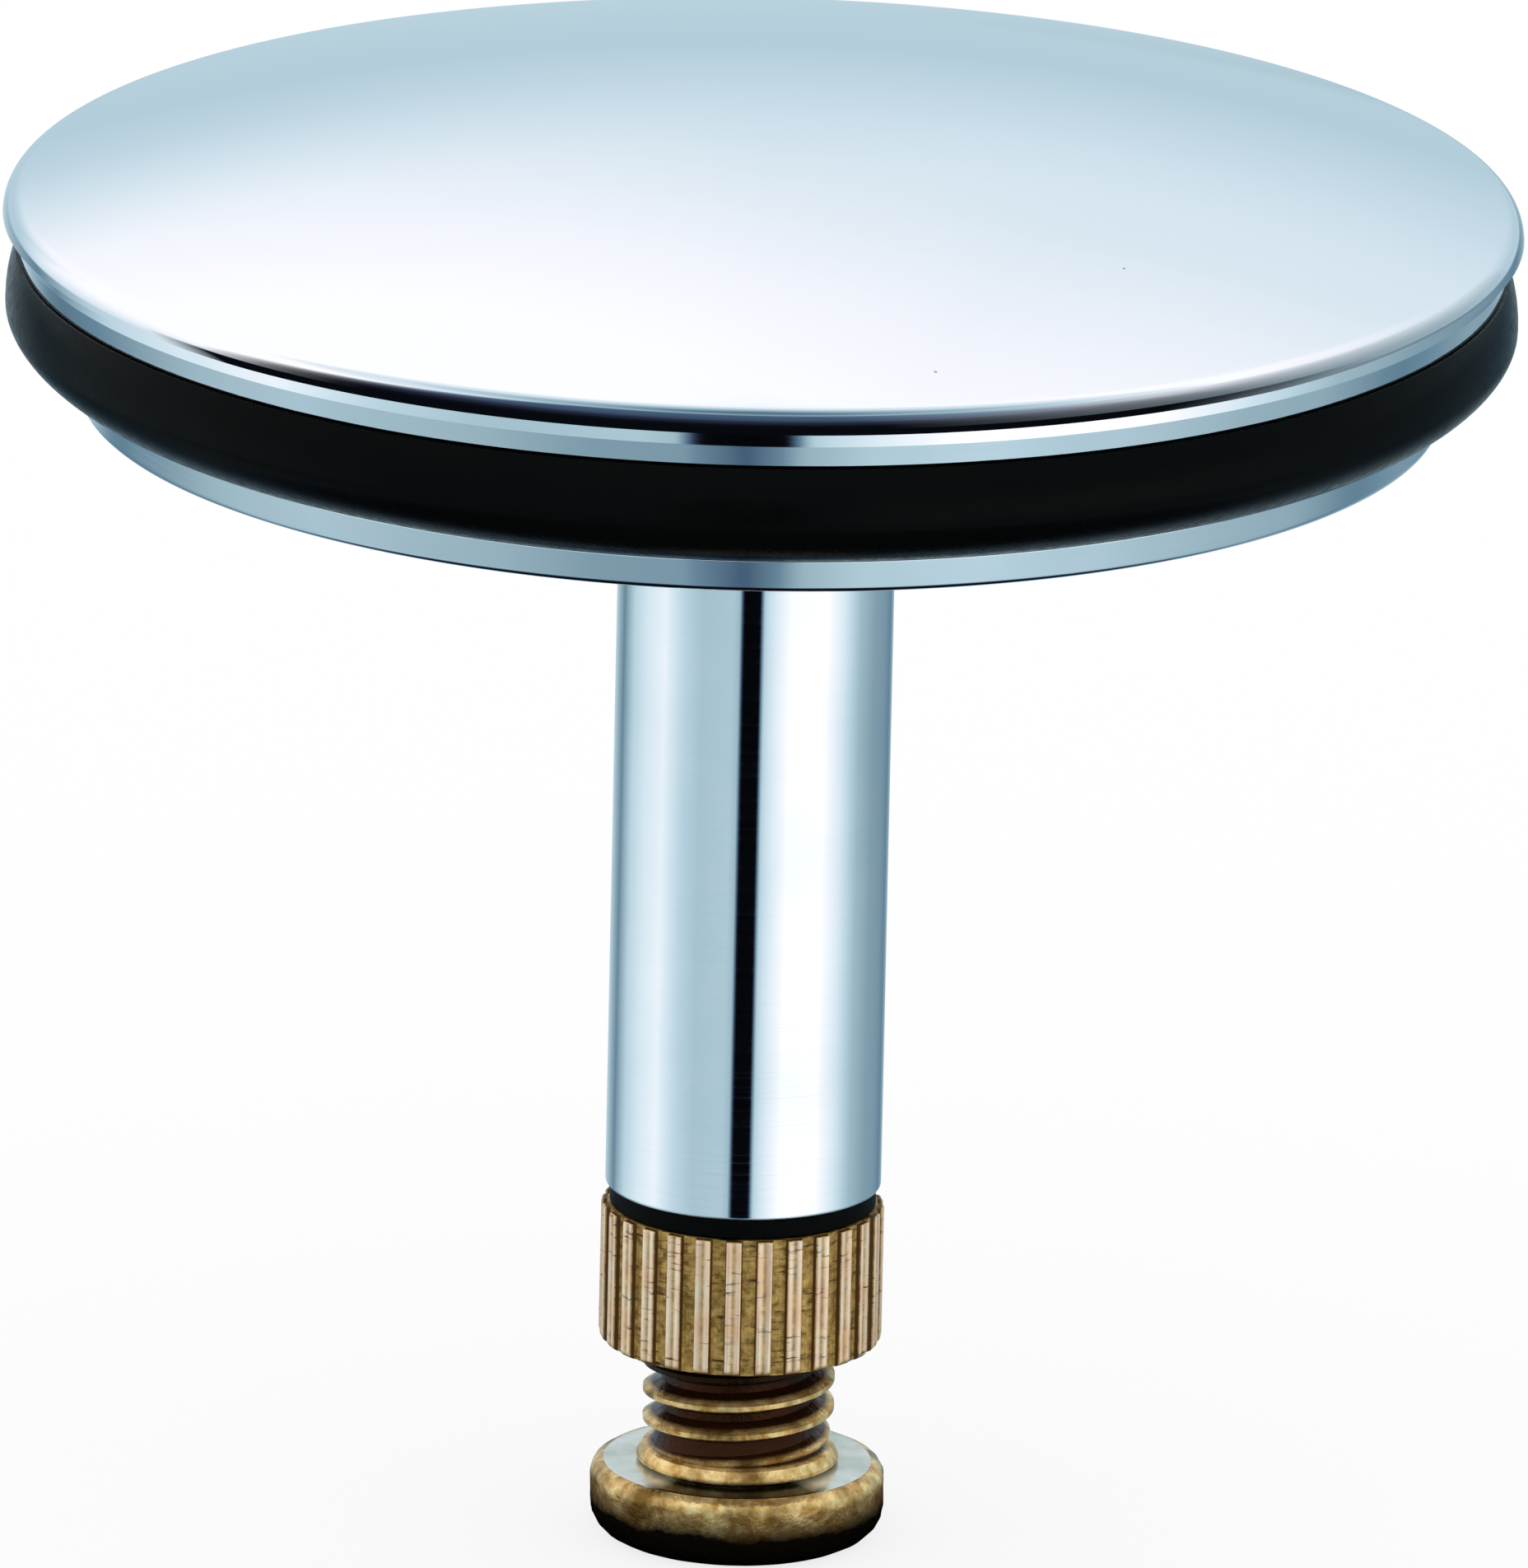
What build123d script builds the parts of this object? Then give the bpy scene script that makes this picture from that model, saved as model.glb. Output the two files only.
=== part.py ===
from build123d import *
import math
import os

# Adjustable pop-up waste plug, standing on the head of its adjusting screw.
# Millimetres, +Z up, origin at the centre of the foot.

# Head of the adjusting screw, which is the foot
head_radius = 6.15
head_height = 3.1
head_foot_rounding = 1.3
head_rim_rounding = 0.35

# Neck and flared collar above the head
collar_base_radius = 4.3
collar_flare = 0.45
collar_height = 1.85
collar_rounding = 0.35
neck_undercut = 0.45
neck_height = 0.25
collar_top_radius = collar_base_radius - collar_flare
neck_radius = collar_base_radius - neck_undercut

# Coarse right-hand thread of the adjusting screw
thread_radius = 4.0
thread_pitch = 1.25
thread_length = 26.0
thread_shown = 3.25
thread_clearance = 0.05

# Coarse right-hand thread of the centre stud
stud_radius = 3.0
stud_pitch = 1.0
stud_length = 15.0
stud_in_stem = 6.5
stud_hole_clearance = 0.2

# Shape of both threads, as shares of the pitch, and the flank's half angle
thread_crest_share = 0.125
thread_depth_share = 0.6134
thread_sink_share = 0.08
thread_point_share = 0.6
thread_start_share = 0.6
thread_flank_angle = 30.0

# Knurled lock nut
nut_radius = 5.9
nut_height = 5.9
nut_foot_chamfer = 0.35
nut_top_chamfer = 0.12
nut_bore_chamfer = 0.3
knurl_count = 28
knurl_depth = 0.3
knurl_root_share = 0.42
knurl_mouth_share = 0.56

# Rubber washer between the stem and the nut
washer_radius = 5.55
washer_thickness = 0.9
washer_bore_clearance = 0.1

# Chromed stem
stem_radius = 5.75
stem_length = 33.1
stem_edge_chamfer = 0.12
stem_screw_bore_depth = 22.0
stem_stud_bore_depth = 7.5
stem_mouth_chamfer = 0.4

# Flat gasket between the stem and the clamp flange
gasket_radius = 4.75
gasket_thickness = 0.8

# Pressed dome cap
cap_radius = 31.5
cap_wall = 1.5
cap_crown_radius = 108.4
cap_edge_radius = 1.0
cap_rim_land = 0.2
cap_rim_chamfer = 0.15

# Carrier plate that backs the seal, with its threaded boss and the step inside the cap
cap_overhang = 0.5
carrier_thickness = 1.45
carrier_taper_height = 0.95
carrier_taper = 0.2
carrier_edge_rounding = 0.12
carrier_boss_radius = 8.0
carrier_step_height = 0.5
carrier_step_clearance = 0.78
carrier_radius = cap_radius - cap_overhang

# Rubber lip seal, whose lip reaches as far out as the cap does
seal_foot_inset = 2.5
seal_width = 7.0
seal_top_inset = 0.05
seal_height = 4.65
seal_lip_height = 2.35
seal_foot_slope = 0.3
seal_top_slope = 0.3
seal_lip_radius = cap_radius
seal_foot_radius = seal_lip_radius - seal_foot_inset
seal_bore_radius = seal_foot_radius - seal_width
seal_top_radius = carrier_radius - seal_top_inset

# Clamp flange under the seal, with the collar that centres the seal
flange_inset = 0.6
flange_thickness = 1.4
flange_edge_taper = 0.15
flange_edge_rounding = 0.3
locating_collar_height = 2.5
locating_collar_wall = 1.2
locating_clearance = 0.1
flange_radius = seal_foot_radius - flange_inset

# Length by which every cut passes the faces that it opens
overrun = 1.0

# How near an edge lies to the place where it is looked for
edge_search = 0.05

# Heights of the seats between the pieces
neck_base = head_height
collar_base = neck_base + neck_height
collar_top = collar_base + collar_height
nut_base = collar_top + thread_shown
nut_top = nut_base + nut_height
stem_base = nut_top + washer_thickness
stem_top = stem_base + stem_length
flange_base = stem_top + gasket_thickness
flange_top = flange_base + flange_thickness
carrier_base = flange_top + seal_height
carrier_top = carrier_base + carrier_thickness
cap_wide_height = carrier_top + cap_rim_land
thread_top = collar_top + thread_length
stud_base = stem_top - stud_in_stem
stud_top = stud_base + stud_length

# Dome cap's inner sphere, and the room that it leaves for the carrier plate's step
cap_reach = cap_crown_radius - cap_edge_radius
cap_edge_centre = cap_radius - cap_edge_radius
cap_crown_centre = cap_wide_height - math.sqrt(cap_reach ** 2 - cap_edge_centre ** 2)
cap_inner_radius = cap_crown_radius - cap_wall
step_top = carrier_top + carrier_step_height
step_room = math.sqrt(cap_inner_radius ** 2 - (step_top - cap_crown_centre) ** 2)
carrier_step_radius = step_room - carrier_step_clearance

# Bores that stand in for internal threads
screw_bore_radius = thread_radius + thread_clearance
stud_bore_radius = stud_radius + thread_clearance
stud_hole_radius = stud_radius + stud_hole_clearance


def turned(outline):
    """Solid of revolution about Z from a closed outline of radius and height points."""
    with BuildPart() as piece:
        with BuildSketch(Plane.XZ):
            with BuildLine():
                Polyline(*outline, close=True)
            make_face()
        revolve(axis=Axis.Z)
    return piece.part


def bore(radius, base, top):
    """Round cutter on the axis between two heights."""
    return Pos(0, 0, base) * Cylinder(radius, top - base, align=(Align.CENTER, Align.CENTER, Align.MIN))


def ring_edges(part, radius, height):
    """Circular edges of a turned piece at a radius and a height."""
    circles = part.edges().filter_by(GeomType.CIRCLE)
    at_height = [edge for edge in circles if abs(edge.center().Z - height) < edge_search]
    return [edge for edge in at_height if abs(edge.radius - radius) < edge_search]


def thread_ridge(crest_radius, pitch, base, length):
    """One unbroken helical ridge whose foot lies a little inside the core."""
    depth = pitch * (thread_depth_share + thread_sink_share)
    half_crest = pitch * thread_crest_share / 2
    half_foot = half_crest + depth * math.tan(math.radians(thread_flank_angle))
    foot_radius = crest_radius - depth
    corners = [
        (foot_radius, -half_foot),
        (crest_radius, -half_crest),
        (crest_radius, half_crest),
        (foot_radius, half_foot),
    ]
    rails = [Helix(pitch, length, radius, center=(0, 0, base + lift)) for radius, lift in corners]
    sides = [Face.make_surface_from_curves(rails[i - 1], rails[i]) for i in range(len(rails))]
    ends = [Face(Wire.make_polygon([rail @ at for rail in rails], close=True)) for at in (0, 1)]
    return Solid(Shell(sides + ends))


def adjusting_screw():
    """Foot, neck, flared collar and threaded shank in one piece."""
    core_radius = thread_radius - thread_pitch * thread_depth_share
    point = thread_pitch * thread_point_share
    core = turned([
        (0, 0),
        (head_radius, 0),
        (head_radius, neck_base),
        (neck_radius, neck_base),
        (neck_radius, collar_base),
        (collar_base_radius, collar_base),
        (collar_top_radius, collar_top),
        (core_radius, collar_top),
        (core_radius, thread_top - point),
        (core_radius - point, thread_top),
        (0, thread_top),
    ])
    core = fillet(ring_edges(core, head_radius, 0), head_foot_rounding)
    core = fillet(ring_edges(core, head_radius, neck_base), head_rim_rounding)
    core = fillet(ring_edges(core, collar_base_radius, collar_base), collar_rounding)
    ridge_base = collar_top - thread_pitch * thread_start_share
    ridge_length = thread_top - thread_pitch - ridge_base
    return core + thread_ridge(thread_radius, thread_pitch, ridge_base, ridge_length)


def centre_stud():
    """Stud that ties the stem to the carrier plate."""
    core_radius = stud_radius - stud_pitch * thread_depth_share
    point = stud_pitch * thread_point_share
    core = turned([
        (0, stud_base),
        (core_radius - point, stud_base),
        (core_radius, stud_base + point),
        (core_radius, stud_top - point),
        (core_radius - point, stud_top),
        (0, stud_top),
    ])
    ridge_length = stud_length - 2 * stud_pitch
    return core + thread_ridge(stud_radius, stud_pitch, stud_base + stud_pitch, ridge_length)


def knurl_cutter():
    """Flat-bottomed groove of the knurl, as a prism beyond both faces of the nut."""
    step = 2 * math.pi / knurl_count
    root_radius = nut_radius - knurl_depth
    root = root_radius * step * knurl_root_share / 2
    mouth = nut_radius * step * knurl_mouth_share / 2
    past_rim = (mouth - root) * overrun / knurl_depth
    outline = Polyline(
        (root_radius, -root),
        (nut_radius + overrun, -mouth - past_rim),
        (nut_radius + overrun, mouth + past_rim),
        (root_radius, root),
        close=True,
    )
    face = make_face(outline)
    return Pos(0, 0, nut_base - overrun) * extrude(face, nut_height + 2 * overrun)


def lock_nut():
    """Straight-knurled round nut."""
    blank = turned([
        (screw_bore_radius + nut_bore_chamfer, nut_base),
        (nut_radius - nut_foot_chamfer, nut_base),
        (nut_radius, nut_base + nut_foot_chamfer),
        (nut_radius, nut_top - nut_top_chamfer),
        (nut_radius - nut_top_chamfer, nut_top),
        (screw_bore_radius + nut_bore_chamfer, nut_top),
        (screw_bore_radius, nut_top - nut_bore_chamfer),
        (screw_bore_radius, nut_base + nut_bore_chamfer),
    ])
    groove = knurl_cutter()
    turn = 360 / knurl_count
    return blank - [Rot(0, 0, turn * i) * groove for i in range(knurl_count)]


def lock_washer():
    """Rubber washer that keeps the nut from working loose."""
    washer = bore(washer_radius, nut_top, stem_base)
    hole_radius = screw_bore_radius + washer_bore_clearance
    return washer - bore(hole_radius, nut_top - overrun, stem_base + overrun)


def stem():
    """Round bar with a long threaded bore below and a short one above."""
    bar = turned([
        (0, stem_base),
        (stem_radius - stem_edge_chamfer, stem_base),
        (stem_radius, stem_base + stem_edge_chamfer),
        (stem_radius, stem_top - stem_edge_chamfer),
        (stem_radius - stem_edge_chamfer, stem_top),
        (0, stem_top),
    ])
    mouth = turned([
        (0, stem_base - overrun),
        (screw_bore_radius + stem_mouth_chamfer, stem_base - overrun),
        (screw_bore_radius + stem_mouth_chamfer, stem_base),
        (screw_bore_radius, stem_base + stem_mouth_chamfer),
        (0, stem_base + stem_mouth_chamfer),
    ])
    screw_bore = bore(screw_bore_radius, stem_base - overrun, stem_base + stem_screw_bore_depth)
    stud_bore = bore(stud_bore_radius, stem_top - stem_stud_bore_depth, stem_top + overrun)
    return bar - mouth - screw_bore - stud_bore


def stem_gasket():
    """Flat ring that seals the stud's hole in the flange."""
    ring = bore(gasket_radius, stem_top, flange_base)
    return ring - bore(stud_hole_radius, stem_top - overrun, flange_base + overrun)


def clamp_flange():
    """Disc with a tapered edge and an upstanding collar for the seal's bore."""
    collar_radius = seal_bore_radius - locating_clearance
    collar_inner = collar_radius - locating_collar_wall
    collar_rim = flange_top + locating_collar_height
    lower_radius = flange_radius - flange_edge_taper
    disc = turned([
        (stud_hole_radius, flange_base),
        (lower_radius, flange_base),
        (flange_radius, flange_top),
        (collar_radius, flange_top),
        (collar_radius, collar_rim),
        (collar_inner, collar_rim),
        (collar_inner, flange_top),
        (stud_hole_radius, flange_top),
    ])
    return fillet(ring_edges(disc, lower_radius, flange_base), flange_edge_rounding)


def lip_seal():
    """Rubber ring whose outer face swells to the lip that closes the waste."""
    bore_foot = (seal_bore_radius, flange_top)
    foot = (seal_foot_radius, flange_top)
    lip = (seal_lip_radius, flange_top + seal_lip_height)
    top = (seal_top_radius, carrier_base)
    bore_top = (seal_bore_radius, carrier_base)
    with BuildPart() as ring:
        with BuildSketch(Plane.XZ):
            with BuildLine():
                Polyline(bore_foot, foot)
                Spline(foot, lip, tangents=[(1, seal_foot_slope), (0, 1)])
                Spline(lip, top, tangents=[(0, 1), (-seal_top_slope, 1)])
                Polyline(top, bore_top, bore_foot)
            make_face()
        revolve(axis=Axis.Z)
    return ring.part


def carrier_plate():
    """Plate whose edge is the bright ring, with a boss below and a step above."""
    plate = turned([
        (stud_bore_radius, flange_top),
        (carrier_boss_radius, flange_top),
        (carrier_boss_radius, carrier_base),
        (carrier_radius - carrier_taper, carrier_base),
        (carrier_radius, carrier_base + carrier_taper_height),
        (carrier_radius, carrier_top),
        (carrier_step_radius, carrier_top),
        (carrier_step_radius, step_top),
        (stud_bore_radius, step_top),
    ])
    return fillet(ring_edges(plate, carrier_radius, carrier_top), carrier_edge_rounding)


def dome_cap():
    """Even-walled shallow dome whose crown runs into a rounded rim."""
    crown_centre = (0, cap_crown_centre)
    edge_centre = (cap_edge_centre, cap_wide_height)
    crown_lean = math.degrees(math.acos(cap_edge_centre / cap_reach))
    inner_lean = math.degrees(math.asin((carrier_top - cap_crown_centre) / cap_inner_radius))
    with BuildPart() as shell:
        with BuildSketch(Plane.XZ):
            with BuildLine():
                crown = CenterArc(crown_centre, cap_crown_radius, 90, crown_lean - 90)
                edge = CenterArc(edge_centre, cap_edge_radius, crown_lean, -crown_lean)
                inner = CenterArc(crown_centre, cap_inner_radius, inner_lean, 90 - inner_lean)
                Polyline(
                    edge @ 1,
                    (cap_radius, carrier_top + cap_rim_chamfer),
                    (cap_radius - cap_rim_chamfer, carrier_top),
                    inner @ 0,
                )
                Line(inner @ 1, crown @ 0)
            make_face()
        revolve(axis=Axis.Z)
    return shell.part


pieces = {
    "dome_cap": dome_cap(),
    "carrier_plate": carrier_plate(),
    "lip_seal": lip_seal(),
    "clamp_flange": clamp_flange(),
    "centre_stud": centre_stud(),
    "stem_gasket": stem_gasket(),
    "stem": stem(),
    "lock_washer": lock_washer(),
    "lock_nut": lock_nut(),
    "adjusting_screw": adjusting_screw(),
}

os.makedirs("parts", exist_ok=True)
for name, piece in pieces.items():
    export_step(piece, f"parts/{name}.step")
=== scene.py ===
import math

import bmesh
import bpy
from mathutils import Matrix, Vector, noise
from mathutils.geometry import interpolate_bezier


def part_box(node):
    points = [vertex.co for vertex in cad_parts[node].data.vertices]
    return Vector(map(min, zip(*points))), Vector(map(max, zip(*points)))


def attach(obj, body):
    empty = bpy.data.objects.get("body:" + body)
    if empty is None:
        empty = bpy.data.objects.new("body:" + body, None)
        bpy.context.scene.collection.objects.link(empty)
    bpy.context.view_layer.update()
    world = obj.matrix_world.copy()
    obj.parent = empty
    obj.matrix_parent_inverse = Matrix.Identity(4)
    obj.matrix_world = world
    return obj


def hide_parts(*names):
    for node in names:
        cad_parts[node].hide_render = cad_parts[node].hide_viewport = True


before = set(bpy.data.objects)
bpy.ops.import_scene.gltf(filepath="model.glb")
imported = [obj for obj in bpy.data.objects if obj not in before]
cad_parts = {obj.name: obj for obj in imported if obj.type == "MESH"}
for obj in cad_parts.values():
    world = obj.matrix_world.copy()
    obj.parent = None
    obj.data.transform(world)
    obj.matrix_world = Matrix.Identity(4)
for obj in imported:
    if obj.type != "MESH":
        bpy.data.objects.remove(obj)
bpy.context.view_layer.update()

# Adjustable pop-up waste plug, standing on its screw's head. Metres, +Z up, round about Z.

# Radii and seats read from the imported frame
cap_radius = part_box("dome_cap")[1].x
cap_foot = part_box("dome_cap")[0].z
cap_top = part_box("dome_cap")[1].z
carrier_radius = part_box("carrier_plate")[1].x
carrier_step_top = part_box("carrier_plate")[1].z
seal_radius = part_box("lip_seal")[1].x
seal_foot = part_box("lip_seal")[0].z
seal_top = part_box("lip_seal")[1].z
flange_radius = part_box("clamp_flange")[1].x
flange_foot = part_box("clamp_flange")[0].z
flange_collar_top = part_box("clamp_flange")[1].z
stem_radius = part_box("stem")[1].x
stem_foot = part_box("stem")[0].z
stem_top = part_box("stem")[1].z
washer_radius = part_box("lock_washer")[1].x
nut_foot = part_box("lock_nut")[0].z
nut_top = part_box("lock_nut")[1].z
head_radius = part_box("adjusting_screw")[1].x
screw_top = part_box("adjusting_screw")[1].z

# Dome cap
cap_wall = 0.0015
cap_edge_radius = 0.001
cap_seat_lift = 0.00015
cap_skirt = 0.00015
cap_skirt_flare = math.radians(8)
rim_seat = cap_foot + cap_seat_lift

# Carrier plate
carrier_taper = 0.0002
carrier_taper_height = 0.00095
carrier_edge_rounding = 0.00012
carrier_boss_radius = 0.008
carrier_step_radius = 0.0268

# Lip seal, whose outer face follows two curves that meet at the lip
seal_bore_radius = 0.022
seal_foot_radius = 0.0284
seal_top_radius = 0.03095
seal_lip_inset = 0.00016
seal_lip_height = 0.00245
seal_foot_pull = Vector((0.0014, 0.0003))
seal_lip_pull_below = Vector((0, -0.00102))
seal_lip_pull_above = Vector((0, 0.00077))
seal_top_pull = Vector((0.00029, -0.00075))

# Clamp flange
flange_taper = 0.00015
flange_rounding = 0.0003
flange_top_rounding = 0.00006
flange_collar_radius = 0.0219
flange_collar_wall = 0.0012

# Bores for the centre stud
stud_bore_radius = 0.00305
stud_hole_radius = 0.0032
stud_bore_depth = 0.0075

# Stem
stem_edge_rounding = 0.00012
stem_mouth_chamfer = 0.0004
screw_bore_radius = 0.00405
screw_bore_depth = 0.022

# Washer
washer_edge_rounding = 0.00015
washer_bore_radius = 0.00415

# Lock nut
nut_radius = 0.0059
knurl_depth = 0.0003
knurl_count = 28
knurl_turn = math.radians(-93.05)
nut_foot_rounding = 0.00035
nut_top_rounding = 0.00012
nut_bore_chamfer = 0.0003

# One tooth of the knurl: angle from its middle as a share of the tooth, and share of the depth
tooth_shares = (
    (-0.5, 0.08),
    (-0.4, 0.0),
    (-0.31, 0.0),
    (-0.275, 0.12),
    (-0.235, 0.88),
    (-0.2, 1.0),
    (-0.11, 0.96),
    (0.0, 0.74),
    (0.11, 0.96),
    (0.2, 1.0),
    (0.235, 0.88),
    (0.275, 0.12),
    (0.31, 0.0),
    (0.4, 0.0),
)

# Adjusting screw
head_height = 0.0031
head_foot_rounding = 0.0013
head_rim_rounding = 0.0006
neck_radius = 0.00385
neck_height = 0.0001

# Thread, whose crest at the front of the screw has a known height. A thread that starts at +X
# comes round to the front after three quarters of a turn.
thread_radius = 0.004
thread_depth = 0.00077
thread_pitch = 0.00125
thread_crest_share = 0.16
thread_root_share = 0.24
thread_front_height = 0.00524
thread_turns_to_front = 2.75
thread_foot = 0.0036
run_out_foot = 0.0039
run_out_top = 0.0049
run_out_radius = 0.0037

# Flared collar from its lower edge up to the thread's core: radius, height above the edge, rounding
collar_shape = (
    (0.00427, 0, 0.00012),
    (0.0042, 0.0002, 0.0001),
    (0.00398, 0.00056, 0.00006),
    (0.0036, 0.00066, 0),
    (0.0035, 0.001, 0),
    (0.00323, 0.0019, 0),
    (0, 0.0019, 0),
)

# Dents of the rough head, which stay away where the noise is above a level
dent_depth = 0.00006
dent_size = 0.0009
dent_detail = 2.3
dent_level = 0.4

# Smoothness of the meshes
wide_sides = 256
narrow_sides = 160
thread_sides = 96
crown_steps = 90
inner_steps = 30
edge_steps = 24
seal_steps = 20
corner_steps = 5
weld = 1e-7
sharp_angle = math.radians(38)
quarter = math.pi / 2


# Outlines and turned pieces

def arc(centre, radius, start, end, steps):
    """Points of an arc in the radius and height plane, its angles from the outward direction."""
    angles = [start + (end - start) * step / steps for step in range(steps + 1)]
    return [centre + Vector((math.cos(angle), math.sin(angle))) * radius for angle in angles]


def rounded(corners):
    """Outline through corners of radius, height and rounding, with an arc at each rounded one."""
    outline = []
    for i, (radius, height, rounding) in enumerate(corners):
        corner = Vector((radius, height))
        if not rounding:
            outline.append(corner)
            continue
        back = (Vector(corners[i - 1][:2]) - corner).normalized()
        ahead = (Vector(corners[(i + 1) % len(corners)][:2]) - corner).normalized()
        half = back.angle(ahead) / 2
        tangent = rounding / math.tan(half)
        centre = corner + (back + ahead).normalized() * rounding / math.sin(half)
        first = (corner + back * tangent - centre).normalized()
        last = (corner + ahead * tangent - centre).normalized()
        hold = tangent + rounding / corner_steps
        outline.append(corner + back * hold)
        for step in range(corner_steps + 1):
            outline.append(centre + first.slerp(last, step / corner_steps) * rounding)
        outline.append(corner + ahead * hold)
    return outline


def spin_outline(mesh, outline, sides, closed):
    """Turns an outline of radius and height points once about Z."""
    points = [mesh.verts.new((point[0], 0, point[1])) for point in outline]
    pairs = list(zip(points, points[1:]))
    if closed:
        pairs.append((points[-1], points[0]))
    edges = [mesh.edges.new(pair) for pair in pairs]
    bmesh.ops.spin(
        mesh,
        geom=points + edges,
        cent=(0, 0, 0),
        axis=(0, 0, 1),
        angle=math.tau,
        steps=sides,
        use_merge=True,
    )
    bmesh.ops.remove_doubles(mesh, verts=mesh.verts, dist=weld)


def piece_from(mesh, name):
    """Finished piece from a bmesh, its faces smooth and pointing outwards."""
    bmesh.ops.recalc_face_normals(mesh, faces=mesh.faces)
    for face in mesh.faces:
        face.smooth = True
    data = bpy.data.meshes.new(name)
    mesh.to_mesh(data)
    mesh.free()
    data.set_sharp_from_angle(angle=sharp_angle)
    piece = bpy.data.objects.new(name, data)
    bpy.context.scene.collection.objects.link(piece)
    return piece


def turned(name, outline, sides, closed=False):
    """Turned piece. The outline of a solid one is closed, or starts and ends on the axis."""
    mesh = bmesh.new()
    spin_outline(mesh, outline, sides, closed)
    return piece_from(mesh, name)


# The plug's turned pieces

def dome_cap():
    """Pressed shallow dome: crown, rolled edge, short flared skirt and the inner face."""
    out = Vector((math.cos(cap_skirt_flare), math.sin(cap_skirt_flare)))
    skirt_inset = cap_skirt * math.tan(cap_skirt_flare)
    edge_centre = Vector((cap_radius - skirt_inset, rim_seat + cap_skirt)) - out * cap_edge_radius
    # The crown's arc passes through the top and runs on smoothly into the rolled edge's arc
    drop = cap_top - edge_centre.y
    reach = edge_centre.x ** 2 + drop ** 2 - cap_edge_radius ** 2
    crown_radius = reach / (drop - cap_edge_radius) / 2
    crown_centre = Vector((0, cap_top - crown_radius))
    lean = (edge_centre - crown_centre).angle(Vector((1, 0)))
    inner_radius = crown_radius - cap_wall
    inner_lean = math.asin((rim_seat - crown_centre.y) / inner_radius)
    outline = arc(crown_centre, crown_radius, quarter, lean, crown_steps)
    outline += arc(edge_centre, cap_edge_radius, lean, cap_skirt_flare, edge_steps)[1:]
    outline.append(Vector((cap_radius, rim_seat)))
    outline += arc(crown_centre, inner_radius, inner_lean, quarter, inner_steps)
    return turned("cap_shell", outline, wide_sides)


def carrier_plate():
    """Plate that backs the seal, whose tapered edge is the bright ring under the cap."""
    corners = [
        (stud_bore_radius, seal_foot, 0),
        (carrier_boss_radius, seal_foot, 0),
        (carrier_boss_radius, seal_top, 0),
        (carrier_radius - carrier_taper, seal_top, carrier_edge_rounding),
        (carrier_radius, seal_top + carrier_taper_height, carrier_edge_rounding),
        (carrier_radius, rim_seat, carrier_edge_rounding),
        (carrier_step_radius, rim_seat, 0),
        (carrier_step_radius, carrier_step_top, 0),
        (stud_bore_radius, carrier_step_top, 0),
    ]
    return turned("backing_plate", rounded(corners), wide_sides, closed=True)


def lip_seal():
    """Rubber ring whose outer face swells to the lip."""
    foot = Vector((seal_foot_radius, seal_foot))
    lip = Vector((seal_radius - seal_lip_inset, seal_foot + seal_lip_height))
    top = Vector((seal_top_radius, seal_top))
    below = (foot, foot + seal_foot_pull, lip + seal_lip_pull_below, lip)
    above = (lip, lip + seal_lip_pull_above, top + seal_top_pull, top)
    outline = [Vector((seal_bore_radius, seal_foot))]
    outline += interpolate_bezier(*below, seal_steps)
    outline += interpolate_bezier(*above, seal_steps)[1:]
    outline.append(Vector((seal_bore_radius, seal_top)))
    return turned("rubber_lip_ring", outline, wide_sides, closed=True)


def clamp_flange():
    """Lower disc with a slightly tapered edge, and the collar that centres the seal."""
    collar_inner = flange_collar_radius - flange_collar_wall
    corners = [
        (stud_hole_radius, flange_foot, 0),
        (flange_radius - flange_taper, flange_foot, flange_rounding),
        (flange_radius, seal_foot, flange_top_rounding),
        (flange_collar_radius, seal_foot, 0),
        (flange_collar_radius, flange_collar_top, 0),
        (collar_inner, flange_collar_top, 0),
        (collar_inner, seal_foot, 0),
        (stud_hole_radius, seal_foot, 0),
    ]
    return turned("flange_disc", rounded(corners), wide_sides, closed=True)


def stem():
    """Round bar with the screw's bore below and the stud's bore above."""
    corners = [
        (0, stem_foot + screw_bore_depth, 0),
        (screw_bore_radius, stem_foot + screw_bore_depth, 0),
        (screw_bore_radius, stem_foot + stem_mouth_chamfer, 0),
        (screw_bore_radius + stem_mouth_chamfer, stem_foot, 0),
        (stem_radius, stem_foot, stem_edge_rounding),
        (stem_radius, stem_top, stem_edge_rounding),
        (stud_bore_radius, stem_top, 0),
        (stud_bore_radius, stem_top - stud_bore_depth, 0),
        (0, stem_top - stud_bore_depth, 0),
    ]
    return turned("stem_bar", rounded(corners), narrow_sides)


def lock_washer():
    """Thin rubber ring between the stem and the nut."""
    corners = [
        (washer_bore_radius, nut_top, 0),
        (washer_radius, nut_top, washer_edge_rounding),
        (washer_radius, stem_foot, washer_edge_rounding),
        (washer_bore_radius, stem_foot, 0),
    ]
    return turned("washer_ring", rounded(corners), narrow_sides, closed=True)


# The knurled nut

def knurl_points():
    """Angle and radius of every point round the knurl."""
    step = math.tau / knurl_count
    root = nut_radius - knurl_depth
    points = []
    for tooth in range(knurl_count):
        for turn_share, depth_share in tooth_shares:
            angle = knurl_turn + (tooth + turn_share) * step
            points.append((angle, root + knurl_depth * depth_share))
    return points


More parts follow.
